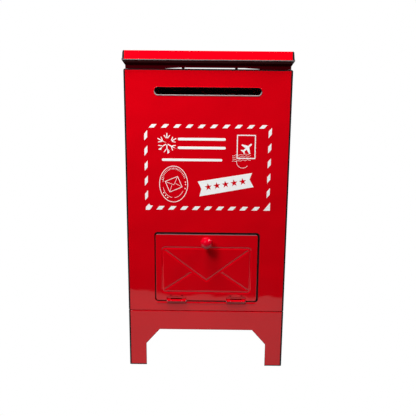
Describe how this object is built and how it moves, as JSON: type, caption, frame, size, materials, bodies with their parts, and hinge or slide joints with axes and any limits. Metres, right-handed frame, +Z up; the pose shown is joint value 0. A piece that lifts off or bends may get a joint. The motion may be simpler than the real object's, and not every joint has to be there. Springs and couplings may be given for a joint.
{
  "type": "letter slot money box",
  "caption": "Free-standing sheet-steel collecting box on legs, with a posting slot, a hinged lid and a small hinged door low on the front for emptying it.",
  "frame": {"origin": "on the floor that the feet stand on, at the middle of the box's overall length and width, knob and hinges included", "axes": "+Z up, +Y from the front with the slot and door to the back with the lid's hinges, +X to the right seen from the front"},
  "size_m": [0.212, 0.1736, 0.4218],
  "materials": {
    "red_enamel": "gloss red enamel with the sheet's edges painted black",
    "knob_enamel": "high-gloss red enamel",
    "black_enamel": "satin black enamel on the pieces behind the door",
    "zinc_steel": "zinc plated",
    "magnet_ferrite": "dull sintered ferrite",
    "bumper_rubber": "matt black rubber",
    "white_print": "screen-printed white enamel ink"
  },
  "bodies": {
    "root": {"front_panel": "red_enamel", "back_panel": "red_enamel", "left_side_panel": "red_enamel", "right_side_panel": "red_enamel", "floor_pan": "red_enamel", "front_leg_skirt": "red_enamel", "back_leg_skirt": "red_enamel", "left_leg_skirt": "red_enamel", "right_leg_skirt": "red_enamel", "door_stop_frame": "black_enamel", "catch_bracket": "black_enamel", "catch_magnet": "magnet_ferrite", "catch_rivets": "black_enamel", "door_hinge_left_case_leaf": "red_enamel", "door_hinge_right_case_leaf": "red_enamel", "door_hinge_case_rivets": "red_enamel", "lid_hinge_left_case_leaf": "red_enamel", "lid_hinge_right_case_leaf": "red_enamel", "lid_hinge_case_rivets": "red_enamel"},
    "lid": {"lid_cover": "red_enamel", "lid_rim": "red_enamel", "lid_bumpers": "bumper_rubber", "lid_hinge_left_lid_leaf": "red_enamel", "lid_hinge_right_lid_leaf": "red_enamel", "lid_hinge_left_pin": "zinc_steel", "lid_hinge_right_pin": "zinc_steel", "lid_hinge_lid_rivets": "red_enamel"},
    "door": {"door_panel": "red_enamel", "door_knob": "knob_enamel", "knob_washer": "zinc_steel", "knob_screw": "zinc_steel", "door_hinge_left_door_leaf": "red_enamel", "door_hinge_right_door_leaf": "red_enamel", "door_hinge_left_pin": "zinc_steel", "door_hinge_right_pin": "zinc_steel", "door_hinge_door_rivets": "red_enamel"}
  },
  "joints": [
    {"name": "lid_hinge", "type": "hinge", "parent": "root", "child": "lid", "pos_m": [0, 0.085, 0.3976], "axis": [-1, 0, 0], "range_deg": [0, 180]},
    {"name": "door_hinge", "type": "hinge", "parent": "root", "child": "door", "pos_m": [0, -0.068, 0.0954], "axis": [1, 0, 0], "range_deg": [0, 180]}
  ]
}
